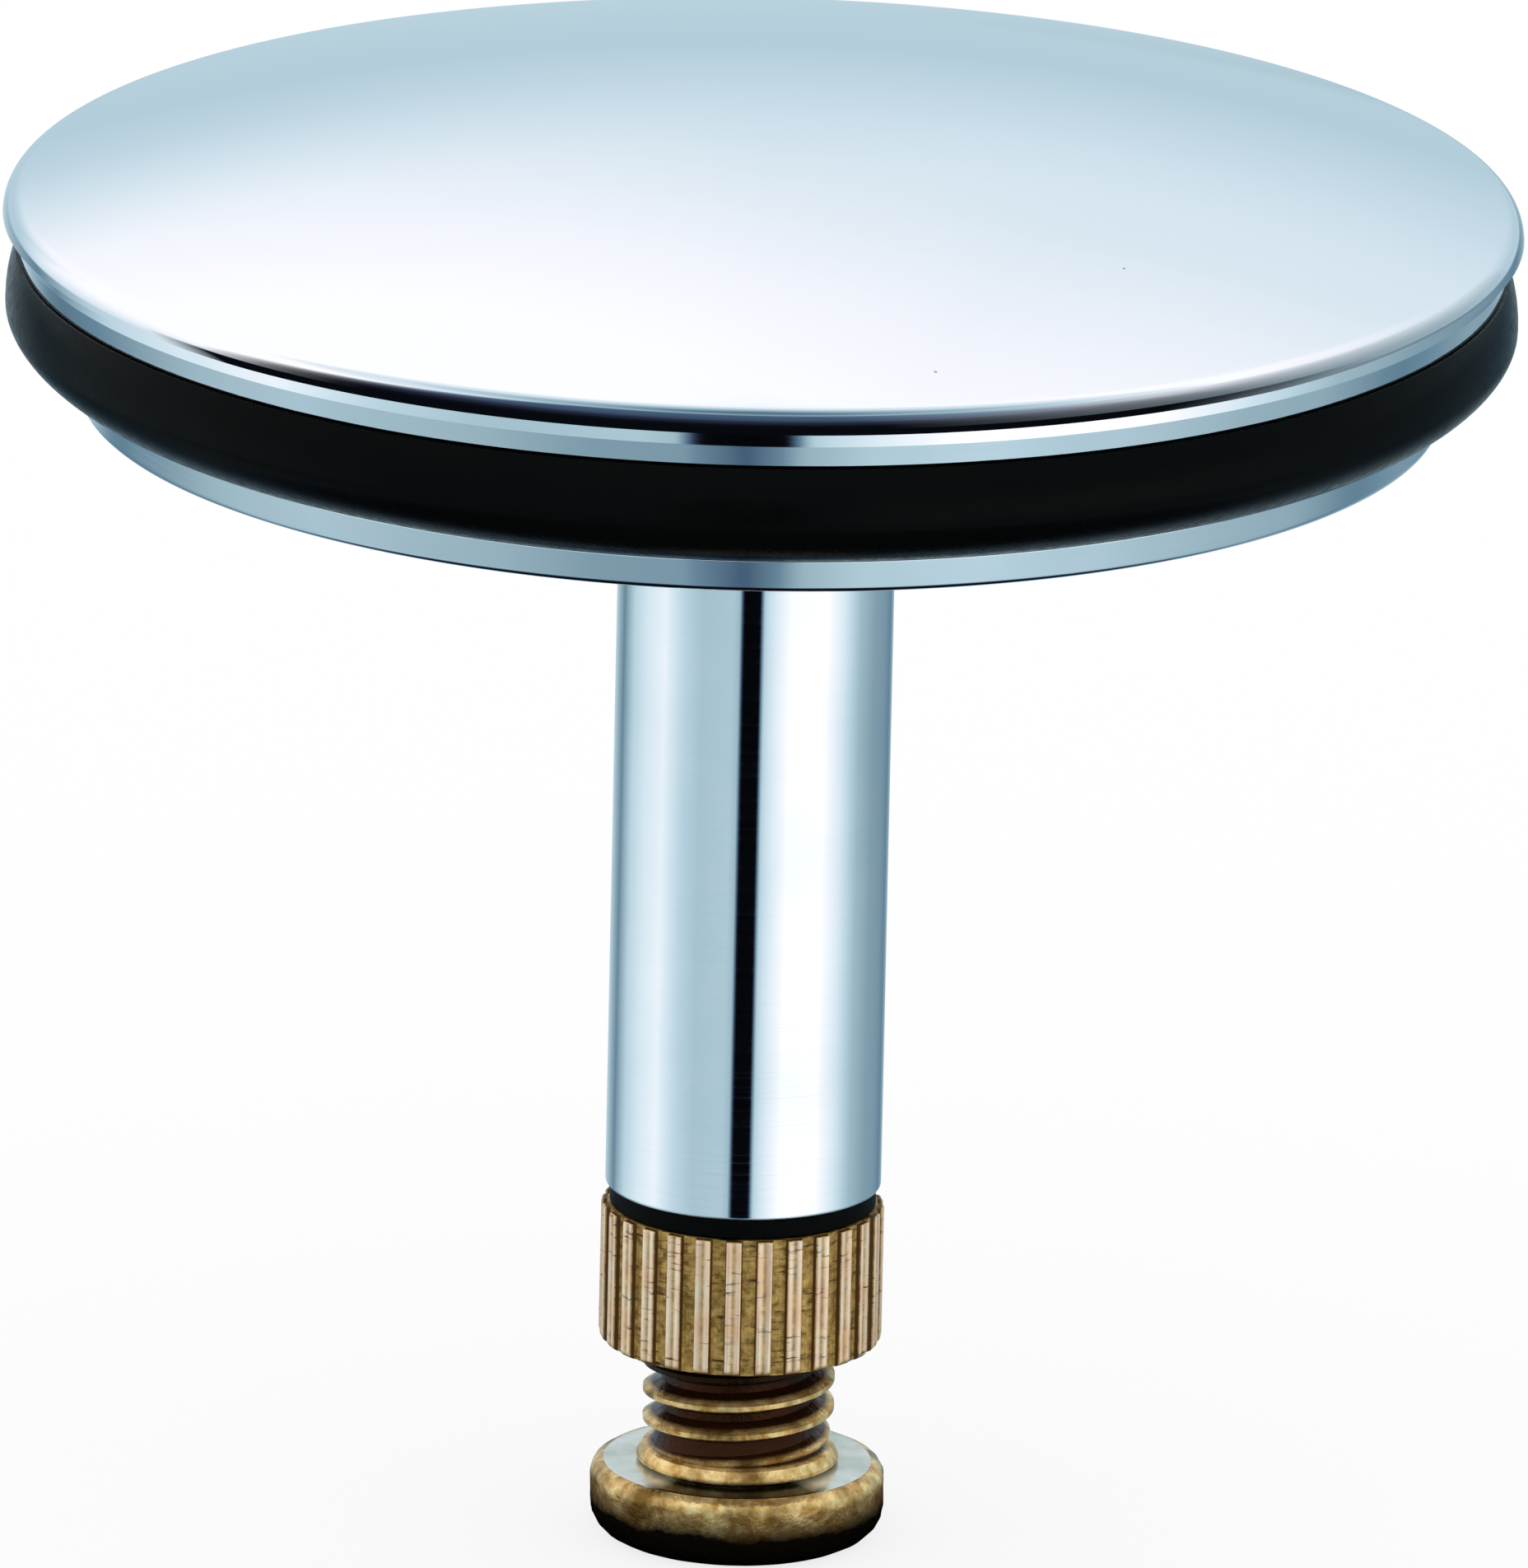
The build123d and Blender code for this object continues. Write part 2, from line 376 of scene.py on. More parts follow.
def nut_rows():
    """How far out each row round the nut's section may reach, and its height."""
    foot_centre = Vector((nut_radius - nut_foot_rounding, nut_foot + nut_foot_rounding))
    top_centre = Vector((nut_radius - nut_top_rounding, nut_top - nut_top_rounding))
    bore_mouth = screw_bore_radius + nut_bore_chamfer
    rows = arc(foot_centre, nut_foot_rounding, -quarter, 0, corner_steps)
    rows += arc(top_centre, nut_top_rounding, 0, quarter, corner_steps)
    rows.append(Vector((bore_mouth, nut_top)))
    rows.append(Vector((screw_bore_radius, nut_top - nut_bore_chamfer)))
    rows.append(Vector((screw_bore_radius, nut_foot + nut_bore_chamfer)))
    rows.append(Vector((bore_mouth, nut_foot)))
    return rows


def lock_nut():
    """Round nut with a straight knurl, each crest with a fine line pressed along its middle."""
    points = knurl_points()
    rows = nut_rows()
    mesh = bmesh.new()
    # The grid's columns go round the knurl and its rows round the section, so its edges meet
    bmesh.ops.create_grid(mesh, x_segments=len(points), y_segments=len(rows), size=1)
    for vert in mesh.verts:
        column = round((vert.co.x + 1) / 2 * len(points))
        row = round((vert.co.y + 1) / 2 * len(rows))
        angle, reach = points[column % len(points)]
        limit, height = rows[row % len(rows)]
        radius = min(reach, limit)
        vert.co = Vector((math.cos(angle) * radius, math.sin(angle) * radius, height))
    bmesh.ops.remove_doubles(mesh, verts=mesh.verts, dist=weld)
    return piece_from(mesh, "knurled_nut")


# The adjusting screw

def everything_in(mesh):
    """All vertices, edges and faces of a bmesh."""
    return list(mesh.verts) + list(mesh.edges) + list(mesh.faces)


def dented(point):
    """Moves a point of the head's rough rim inwards a little."""
    radius = math.hypot(point.x, point.y)
    inner = head_radius - head_foot_rounding
    share = min(max((radius - inner) / head_foot_rounding, 0), 1)
    if point.z > head_height:
        share = 0
    dent = noise.noise(point / dent_size) + noise.noise(point / dent_size * dent_detail) / 2
    move = dent_depth * share * (min(dent, dent_level) - dent_level)
    flat = Vector((point.x, point.y, 0)).normalized()
    return point + flat * move


def spin_thread(mesh):
    """Unbroken right-hand thread with flat crests: one turn is spun and then repeated upwards."""
    crest = thread_pitch * thread_crest_share / 2
    root = thread_pitch * (1 - thread_root_share) / 2
    core = thread_radius - thread_depth
    start = thread_front_height - thread_pitch * thread_turns_to_front
    turns = math.ceil((screw_top - start) / thread_pitch) + 1
    section = [(core, -thread_pitch / 2), (core, -root), (thread_radius, -crest)]
    section += [(thread_radius, crest), (core, root), (core, thread_pitch / 2)]
    points = [mesh.verts.new((radius, 0, start + lift)) for radius, lift in section]
    edges = [mesh.edges.new(pair) for pair in zip(points, points[1:])]
    bmesh.ops.spin(
        mesh,
        geom=points + edges,
        cent=(0, 0, 0),
        axis=(0, 0, 1),
        dvec=(0, 0, thread_pitch / thread_sides),
        angle=math.tau,
        steps=thread_sides,
    )
    turn = everything_in(mesh)
    for number in range(1, turns):
        copy = bmesh.ops.duplicate(mesh, geom=turn)["geom"]
        verts = [item for item in copy if isinstance(item, bmesh.types.BMVert)]
        bmesh.ops.translate(mesh, verts=verts, vec=(0, 0, thread_pitch * number))
    bmesh.ops.remove_doubles(mesh, verts=mesh.verts, dist=weld)


def run_out_thread(mesh):
    """Narrows the thread's crests towards the collar."""
    for vert in mesh.verts:
        share = min(max((vert.co.z - run_out_foot) / (run_out_top - run_out_foot), 0), 1)
        limit = run_out_radius + (thread_radius - run_out_radius) * share
        radius = math.hypot(vert.co.x, vert.co.y)
        if radius > limit:
            vert.co.xy *= limit / radius


def cut_thread(mesh):
    """Cuts the thread flat inside the collar and at the screw's end, and closes both cuts."""
    for height, up in ((thread_foot, -1), (screw_top, 1)):
        cut = bmesh.ops.bisect_plane(
            mesh,
            geom=everything_in(mesh),
            dist=weld,
            plane_co=(0, 0, height),
            plane_no=(0, 0, up),
            clear_outer=True,
        )
        rim = [item for item in cut["geom_cut"] if isinstance(item, bmesh.types.BMEdge)]
        bmesh.ops.edgeloop_fill(mesh, edges=rim)


def adjusting_screw():
    """Rough round head, neck, flared collar and threaded shank."""
    collar_base = head_height + neck_height
    corners = [
        (0, 0, 0),
        (head_radius, 0, head_foot_rounding),
        (head_radius, head_height, head_rim_rounding),
        (neck_radius, head_height, 0),
        (neck_radius, collar_base, 0),
    ]
    for radius, height, rounding in collar_shape:
        corners.append((radius, collar_base + height, rounding))
    mesh = bmesh.new()
    spin_thread(mesh)
    run_out_thread(mesh)
    cut_thread(mesh)
    head = bmesh.new()
    spin_outline(head, rounded(corners), narrow_sides, closed=False)
    for vert in head.verts:
        vert.co = dented(vert.co)
    head_mesh = bpy.data.meshes.new("screw_head")
    head.to_mesh(head_mesh)
    head.free()
    mesh.from_mesh(head_mesh)
    bpy.data.meshes.remove(head_mesh)
    return piece_from(mesh, "foot_screw")


# Nodes of the materials

def shade(red, green, blue):
    """Colour as it looks on a screen, from 0 to 255, as the light values that a shader takes."""
    values = [level / 255 for level in (red, green, blue)]
    return [v / 12.92 if v <= 0.04045 else ((v + 0.055) / 1.055) ** 2.4 for v in values] + [1]


def grey(level):
    """Grey of a level of light from 0 to 1, as a shader takes it."""
    return (level, level, level, 1)


def add(tree, kind, inputs=None, **settings):
    """Adds a node with its settings, each input linked to a socket or given a value."""
    new = tree.nodes.new("ShaderNode" + kind)
    for name, value in settings.items():
        setattr(new, name, value)
    for name, value in (inputs or {}).items():
        if isinstance(value, bpy.types.NodeSocket):
            tree.links.new(value, new.inputs[name])
        else:
            new.inputs[name].default_value = value
    return new


def calculate(tree, operation, *values):
    """Result of one step of arithmetic."""
    return add(tree, "Math", dict(enumerate(values)), operation=operation).outputs[0]


def product(tree, first, *others):
    """Product of two or more values."""
    for other in others:
        first = calculate(tree, "MULTIPLY", first, other)
    return first


def ramp(tree, factor, stops):
    """Colour that changes through stops of a share and a colour."""
    new = add(tree, "ValToRGB", {"Fac": factor})
    elements = new.color_ramp.elements
    while len(elements) < len(stops):
        elements.new(1)
    for element, (place, colour) in zip(elements, stops):
        element.position = place
        element.color = colour
    return new.outputs["Color"]


def level_ramp(tree, factor, stops):
    """Level that changes through stops of a share and a level."""
    return ramp(tree, factor, [(place, grey(level)) for place, level in stops])


def mix(tree, factor, first, second):
    """Colour between two colours, each a socket or a tone from 0 to 255."""
    new = add(tree, "Mix", {0: factor}, data_type="RGBA")
    # Sockets 6 and 7 and output 2 are the colours among the node's other kinds
    for socket, colour in ((new.inputs[6], first), (new.inputs[7], second)):
        if isinstance(colour, bpy.types.NodeSocket):
            tree.links.new(colour, socket)
        else:
            socket.default_value = shade(*colour)
    return new.outputs[2]


def mixed_level(tree, factor, first, second):
    """Level between two levels."""
    new = add(tree, "Mix", {"Factor": factor, "A": first, "B": second}, data_type="FLOAT")
    return new.outputs["Result"]


def spread(tree, value, low, high, to_low=0, to_high=1):
    """Value carried over from one range to another, and held at its ends."""
    inputs = {"Value": value, "From Min": low, "From Max": high, "To Min": to_low, "To Max": to_high}
    return add(tree, "MapRange", inputs).outputs[0]


def new_finish(name, metallic, **settings):
    """New material, its nodes, its main shader and the piece's own coordinates."""
    material = bpy.data.materials.new(name)
    material.use_nodes = True
    tree = material.node_tree
    shader = tree.nodes["Principled BSDF"]
    shader.inputs["Metallic"].default_value = metallic
    for socket, value in settings.items():
        shader.inputs[socket.replace("_", " ")].default_value = value
    place = add(tree, "TexCoord").outputs["Object"]
    return material, tree, shader, place


def dress(tree, shader, colour, roughness):
    """Gives a shader its colour and its roughness."""
    tree.links.new(colour, shader.inputs["Base Color"])
    tree.links.new(roughness, shader.inputs["Roughness"])


def raise_by(tree, shader, height, strength, distance):
    """Gives a shader the relief of a height."""
    inputs = {"Height": height, "Strength": strength, "Distance": distance}
    tree.links.new(add(tree, "Bump", inputs).outputs[0], shader.inputs["Normal"])


def stretched(tree, place, across, along):
    """The piece's coordinates with one scale across its axis and another along it."""
    return add(tree, "Mapping", {"Vector": place, "Scale": (across, across, along)}).outputs[0]


def grain(tree, place, scale=1.0, detail=3.0, roughness=0.5):
    """Soft random level from 0 to 1."""
    inputs = {"Vector": place, "Scale": scale, "Detail": detail, "Roughness": roughness}
    return add(tree, "TexNoise", inputs).outputs[0]


# Most of a random level lies in the wider span, and blotches change over the narrower one
wander_span = (0.3, 0.7)
blotch_span = (0.35, 0.65)


def wandering(tree, level, low, high):
    """Value that wanders from low to high with a random level."""
    return spread(tree, level, *wander_span, low, high)


def blotched(tree, level, first, second):
    """Two tones in blotches that follow a random level."""
    return mix(tree, spread(tree, level, *blotch_span), first, second)


def radius_of(tree, place):
    """Distance from the part's axis."""
    flat = add(tree, "VectorMath", {0: place, 1: (1, 1, 0)}, operation="MULTIPLY").outputs[0]
    return add(tree, "VectorMath", {0: flat}, operation="LENGTH").outputs["Value"]


def pits(tree, place, cells, size, kept):
    """Mask of a few small round pits, seen from above: one in each cell that is kept."""
    cell = add(tree, "TexVoronoi", {"Vector": place, "Scale": cells}, voronoi_dimensions="2D")
    near = calculate(tree, "LESS_THAN", cell.outputs["Distance"], size)
    chance = add(tree, "SeparateColor", {0: cell.outputs["Color"]}).outputs[0]
    return product(tree, near, calculate(tree, "LESS_THAN", chance, kept))


# Chrome: tones as they look on a screen, from 0 to 255
cap_silver = (240, 242, 245)
cap_highlight = (243, 245, 248)
pit_grey = (150, 158, 166)
turned_silver = (245, 248, 250)
turned_highlight = (253, 254, 255)
clouded_silver = (240, 245, 248)


def mirror_chrome():
    """Polished chrome of the cap, with faint haze and a few tiny pits."""
    material, tree, shader, place = new_finish("mirror_chrome", 1.0)
    haze = grain(tree, place, scale=90.0)
    pit = pits(tree, place, cells=140.0, size=0.01, kept=0.09)
    tone = mix(tree, pit, mix(tree, haze, cap_silver, cap_highlight), pit_grey)
    dress(tree, shader, tone, wandering(tree, haze, low=0.02, high=0.05))
    return material


def turned_chrome(name, around, along, depth):
    """Polished chrome with fine turned lines."""
    material, tree, shader, place = new_finish(name, 1.0)
    lines = grain(tree, stretched(tree, place, around, along), detail=4.0, roughness=0.6)
    cloud = spread(tree, grain(tree, place, scale=160.0), low=0.45, high=0.75)
    tone = mix(tree, cloud, mix(tree, lines, turned_silver, turned_highlight), clouded_silver)
    dress(tree, shader, tone, wandering(tree, lines, low=0.02, high=0.06))
    raise_by(tree, shader, lines, strength=0.15, distance=depth)
    return material


# Rubber: how far its tone and its roughness vary, and the depth of its grain
rubber_lift = 4
rubber_wander = 0.08
rubber_grain_depth = 0.00005


def rubber(name, tone, roughness, bump):
    """Black rubber with a fine moulded grain."""
    material, tree, shader, place = new_finish(name, 0.0, Specular_IOR_Level=0.04)
    fine = grain(tree, place, scale=2600.0, detail=4.0)
    cloud = grain(tree, place, scale=180.0)
    lifted = tuple(level + rubber_lift for level in tone)
    rough = wandering(tree, fine, roughness - rubber_wander, roughness + rubber_wander)
    dress(tree, shader, mix(tree, cloud, tone, lifted), rough)
    raise_by(tree, shader, fine, strength=bump, distance=rubber_grain_depth)
    return material


# Knurled brass: its tones, and where its crests and flanks lie as a share of the knurl's depth
crest_pink = (252, 208, 172)
crest_cream = (255, 234, 204)
crest_scratch = (150, 104, 70)
valley_olive = (132, 100, 42)
valley_gold = (222, 182, 106)
valley_scratch = (62, 44, 20)
# Painted shade on the knurl's steep flanks
flank_shade_brown = (92, 62, 28)
crest_share = (0.7, 0.97)
flank_shade_shares = ((0.05, 0), (0.2, 1), (0.6, 1), (0.72, 0))


def knurled_brass():
    """Bright rubbed crests over dull olive valleys, scratched and specked, with painted shade on the
    flanks.
    """
    material, tree, shader, place = new_finish("knurled_brass", 0.5, Specular_IOR_Level=0.25)
    depth = spread(tree, radius_of(tree, place), nut_radius - knurl_depth, nut_radius)
    crest = spread(tree, depth, *crest_share)
    flank_shade = level_ramp(tree, depth, flank_shade_shares)
    fine = grain(tree, place, scale=2400.0, detail=5.0, roughness=0.65)
    blotch = grain(tree, place, scale=700.0)
    scratch = grain(tree, stretched(tree, place, 700, 5200), roughness=0.6)
    bright = blotched(tree, blotch, crest_pink, crest_cream)
    bright = mix(tree, spread(tree, scratch, low=0.6, high=0.7), bright, crest_scratch)
    dull = blotched(tree, fine, valley_olive, valley_gold)
    dull = mix(tree, spread(tree, scratch, low=0.54, high=0.7), dull, valley_scratch)
    # Painted shade down the knurl's steep flanks
    dull = mix(tree, flank_shade, dull, flank_shade_brown)
    rough = mixed_level(tree, crest, 0.46, 0.28)
    dress(tree, shader, mix(tree, crest, dull, bright), rough)
    raise_by(tree, shader, fine, strength=0.45, distance=0.00006)
    return material


# Raw brass of the screw: its tones
screw_gold = (190, 142, 68)
screw_highlight = (255, 226, 160)
screw_stain = (128, 96, 44)
# Painted shade in the thread's grooves
groove_brown = (60, 32, 14)
# Painted shadow of the nut on the thread's top
thread_shadow = (40, 24, 10)
# Painted shade, black, over the head's lower rim
rim_black = (22, 17, 8)
# Painted shade over the front of the head's face
face_black = (16, 13, 9)
face_grey = (196, 202, 190)
face_pale = (242, 244, 236)

# Where its painted shade lies: in the grooves by radius, up the thread under the nut and up the
# rim by height, and on the front of the head's face by the cosine from behind
groove_shade_radii = (0.0036, 0.00385)
nut_shadow_heights = (0.0071, 0.0074)
rim_shade_heights = (0.0014, 0.0027)
rim_shade_wander = 0.0003
face_shade_cosines = (-0.82, -0.7)

# The head's upper face, which is smooth: how near its height, and how far on to the rim
face_tolerance = 0.00005
face_margin = 0.00004


def raw_brass():
    """Raw brass, hammered on the head's rim, darkened with painted shade below and in the thread's
    grooves.
    """
    material, tree, shader, place = new_finish("raw_brass", 0.6, Specular_IOR_Level=0.12)
    dents = grain(tree, place, scale=900.0, detail=4.0, roughness=0.6)
    stain = grain(tree, place, scale=380.0, detail=4.0, roughness=0.6)
    fine = grain(tree, place, scale=1700.0, detail=4.0, roughness=0.6)
    radius = radius_of(tree, place)
    axes = add(tree, "SeparateXYZ", {0: place}).outputs
    crest = spread(tree, radius, *groove_shade_radii)
    above = spread(tree, axes["Z"], *nut_shadow_heights)
    wander = wandering(tree, stain, -rim_shade_wander, rim_shade_wander)
    # Painted shade over the head's lower rim, with a wandering top edge
    rim_unshaded = spread(tree, calculate(tree, "ADD", axes["Z"], wander), *rim_shade_heights)
    level = calculate(tree, "COMPARE", axes["Z"], head_height, face_tolerance)
    inside = calculate(tree, "LESS_THAN", radius, head_radius - head_rim_rounding + face_margin)
    face = product(tree, level, inside)
    # Painted shade over the front of the head's smooth face
    face_unshaded = spread(tree, calculate(tree, "DIVIDE", axes["Y"], radius), *face_shade_cosines)
    tone = blotched(tree, fine, screw_gold, screw_highlight)
    tone = mix(tree, spread(tree, stain, low=0.5, high=0.66), tone, screw_stain)
    # Painted shade in the thread's grooves
    tone = mix(tree, crest, groove_brown, tone)
    # Painted shadow of the nut on the thread's top
    tone = mix(tree, above, tone, thread_shadow)
    # Painted shade on the head's lower rim
    tone = mix(tree, rim_unshaded, rim_black, tone)
    pale = blotched(tree, stain, face_grey, face_pale)
    # The face's front takes the painted shade
    tone = mix(tree, face, tone, mix(tree, face_unshaded, face_black, pale))
    hammered = wandering(tree, dents, low=0.18, high=0.34)
    dress(tree, shader, tone, mixed_level(tree, face, hammered, 0.2))
    relief = product(tree, dents, calculate(tree, "SUBTRACT", 1.0, face))
    raise_by(tree, shader, relief, strength=0.5, distance=0.00025)
    return material


# Machined brass of the stud: its tones
stud_gold = (206, 172, 104)
stud_highlight = (230, 200, 138)


def machined_brass():
    """Clean brass of the stud inside."""
    material, tree, shader, place = new_finish("machined_brass", 1.0)
    lines = grain(tree, stretched(tree, place, 200, 6000))
    tone = mix(tree, lines, stud_gold, stud_highlight)
    dress(tree, shader, tone, wandering(tree, lines, low=0.2, high=0.34))
    raise_by(tree, shader, lines, strength=0.2, distance=0.00003)
    return material


# Studio for the metal to show. Its angles are in degrees: azimuth from the front, positive to
# the right, and elevation from the horizon. Its levels go from 0, dark, to 1, white.

# Level of the cards all round, just below the horizon
upper_cards = (
    (-180, 0.755), (-168, 0.75), (-156, 0.65), (-140, 0.5), (-120, 0.765), (-100, 0.87),
    (-80, 0.925), (-60, 0.77), (-44, 0.7), (-18, 0.72), (-12, 0.66), (-9, 0.0), (4.3, 0.0),
    (6, 0.45), (8, 0.74), (12, 0.82), (18, 0.89), (30, 0.99), (62, 1.0), (80, 0.87), (100, 0.66),
    (120, 0.57), (140, 0.54), (156, 0.49), (168, 0.62), (180, 0.755),
)
# Level of the cards all round, further down
lower_cards = (
    (-180, 0.68), (-146, 0.44), (-127, 0.53), (-106, 0.66), (-83, 0.7), (-46, 0.63), (-28, 0.56),
    (-13, 0.55), (-8, 0.45), (-2, 0.33), (4, 0.5), (8, 0.64), (19, 0.73), (40, 0.76), (63, 0.715),
    (86, 0.645), (106, 0.6), (126, 0.47), (146, 0.56), (170, 0.66), (180, 0.68),
)
# Elevations between which the lower cards end and the upper ones begin
cards_seam = (-22.0, -18.0)
# Share of the cards' level that is left near the floor, by elevation
card_foot = ((-90, 0.03), (-62, 0.05), (-46, 1.0), (90, 1.0))
# Elevations between which the cards end and the walls begin
horizon = (-5.0, -1.8)
# Level up the walls
wall_levels = (
    (-16, 0.755), (6, 0.75), (15, 0.81), (24, 0.875), (38, 0.965), (48, 1.0), (90, 1.0),
)
# How far the wall to the left shades as if it were higher up: share of the most, by azimuth
side_rise = (
    (-151, 0.0), (-138, 0.7), (-124, 0.78), (-110, 0.82), (-97, 0.85), (-70, 0.5), (-30, 0.0),
)
side_rise_most = 32.0
# Left of straight behind the walls shade as if higher up, and right of it as if lower down: the
# degrees, the azimuths and elevations over which this grows, and the azimuths where it fades
left_lean = 15.8
left_lean_round = (-180, -165)
left_lean_up = (12, 24)
left_lean_fade = (-90, -20)
right_lean = 4.5
right_lean_round = (174, 180)
right_lean_up = (24, 30)
right_lean_fade = (0, 40)
# Level up into the ceiling, which is darkest overhead
ceiling = (
    (48, 1.0), (51, 0.97), (54, 0.91), (62, 0.86), (64, 0.81), (68, 0.75), (73, 0.67), (77, 0.62),
    (85, 0.47), (90, 0.42),
)
# How far the ceiling begins higher: share of the most, by azimuth. It fades out overhead.
ceiling_rise = (
    (-180, 0.0), (-165, 0.5), (-150, 0.7), (-136, 0.7), (-115, 0.0), (100, 0.0), (125, 0.8),
    (137, 1.0), (150, 0.9), (165, 0.6), (172, 0.3), (180, 0.0),
)
ceiling_rise_most = 12.0
ceiling_rise_fade = (62.0, 86.0)
# Tint of each level
studio_tint = (
    (0.0, (4, 5, 7)), (0.1, (18, 22, 32)), (0.2, (42, 48, 68)), (0.33, (64, 86, 112)),
    (0.4, (80, 106, 126)), (0.5, (98, 128, 146)), (0.65, (150, 175, 186)),
    (0.755, (177, 201, 212)), (0.8, (190, 211, 221)), (0.875, (212, 226, 234)),
    (0.965, (241, 242, 247)), (1.0, (252, 252, 253)),
)
# Strength of the light that the cards give back
card_light = 1.13


def level_round(tree, azimuth, table):
    """Level of a table by azimuth."""
    turn = spread(tree, azimuth, -180, 180)
    return level_ramp(tree, turn, [((angle + 180) / 360, level) for angle, level in table])


def level_up(tree, elevation, table):
    """Level of a table by elevation."""
    rise = spread(tree, elevation, -90, 90)
    return level_ramp(tree, rise, [((angle + 90) / 180, level) for angle, level in table])


def tinted(tree, level):
    """Colour of a level of the studio."""
    return ramp(tree, level, [(share, shade(*tint)) for share, tint in studio_tint])


def leaned(tree, azimuth, elevation):
    """Elevation by which the walls shade: raised on their left, lowered on their right."""
    left = product(
        tree,
        spread(tree, azimuth, *left_lean_round, 0, left_lean),
        spread(tree, elevation, *left_lean_up),
        spread(tree, azimuth, *left_lean_fade, 1, 0),
    )
    side = product(tree, level_round(tree, azimuth, side_rise), side_rise_most)
    right = product(
        tree,
        spread(tree, azimuth, *right_lean_round, right_lean, 0),
        spread(tree, elevation, *right_lean_up),
        spread(tree, azimuth, *right_lean_fade),
    )
    raised = calculate(tree, "ADD", elevation, calculate(tree, "MAXIMUM", left, side))
    return calculate(tree, "SUBTRACT", raised, right)


def card_level(tree, azimuth, elevation):
    """Level of the cards below the horizon."""
    upper = level_round(tree, azimuth, upper_cards)
    lower = level_round(tree, azimuth, lower_cards)
    level = mixed_level(tree, spread(tree, elevation, *cards_seam), lower, upper)
    return product(tree, level, level_up(tree, elevation, card_foot))


def wall_level(tree, azimuth, elevation):
    """Level of the walls and of the ceiling over them."""
    wall = level_up(tree, leaned(tree, azimuth, elevation), wall_levels)
    most = spread(tree, elevation, *ceiling_rise_fade, ceiling_rise_most, 0)
    rise = product(tree, level_round(tree, azimuth, ceiling_rise), most)
    overhead = level_up(tree, calculate(tree, "SUBTRACT", elevation, rise), ceiling)
    return calculate(tree, "MINIMUM", wall, overhead)


def studio():
    """Soft cards for the metal to show, plain even light for the rest and a white background."""
    world = bpy.data.worlds.new("studio")
    world.use_nodes = True
    tree = world.node_tree
    tree.nodes.clear()
    way = add(tree, "SeparateXYZ", {0: add(tree, "TexCoord").outputs["Generated"]}).outputs
    ahead = product(tree, way["Y"], -1)
    azimuth = calculate(tree, "DEGREES", calculate(tree, "ARCTAN2", way["X"], ahead))
    elevation = calculate(tree, "DEGREES", calculate(tree, "ARCSINE", way["Z"]))
    low = card_level(tree, azimuth, elevation)
    high = wall_level(tree, azimuth, elevation)
    cards = tinted(tree, mixed_level(tree, spread(tree, elevation, *horizon), low, high))
    path = add(tree, "LightPath").outputs
    white = add(tree, "Background", {"Color": grey(1), "Strength": 1.0}).outputs[0]
    shown = add(tree, "Background", {"Color": cards, "Strength": card_light}).outputs[0]
    mirrored = calculate(tree, "MAXIMUM", path["Is Glossy Ray"], path["Is Transmission Ray"])
    around = add(tree, "MixShader", {0: mirrored, 1: white, 2: shown}).outputs[0]
    add(tree, "OutputWorld", {"Surface": around})
    world.cycles.sampling_method = "NONE"
    bpy.context.scene.world = world


# Dark card that stands close round the cap's edge, and fades out at its top
edge_card_gap = 0.001
edge_card_foot = rim_seat - 0.0001
edge_card_top = cap_top + 0.0012
edge_card_fade = 0.0015
# Where on the cap's edge the card is mirrored: height, and distance from the card
edge_height = rim_seat + 0.00065
edge_distance = 0.00115
# How much faster the mirrored azimuth grows as the edge leans back, as a power of its cosine
edge_swing = 0.7
# Level of the card by elevation from that edge
edge_card_levels = (
    (-6, 0.02), (6, 0.03), (11, 0.05), (22, 0.12), (36, 0.17), (46, 0.25), (54, 0.3), (68, 0.34),
    (82, 0.39), (90, 0.42),
)
# How solid the card is, by the azimuth that the edge mirrors
edge_card_reach = (
    (-98, 0.0), (-93, 0.37), (-84, 0.81), (-78, 0.92), (-70, 0.99), (-64, 1.0), (20, 1.0),
    (28, 0.98), (43, 0.93), (57, 0.86), (68, 0.81), (78, 0.74), (84, 0.63), (97, 0.48),
    (112, 0.39), (133, 0.28), (150, 0.15), (162, 0.09), (167, 0.0),
)
# Lowest strip of the card, which reaches further round: how solid it is by elevation and azimuth
strip_up = ((-8, 1.0), (-2, 0.0))
strip_round = (
    (-112, 0.0), (-97, 1.0), (70, 1.0), (80, 0.95), (93, 0.81), (108, 0.5), (124, 0.22),
    (139, 0.0),
)


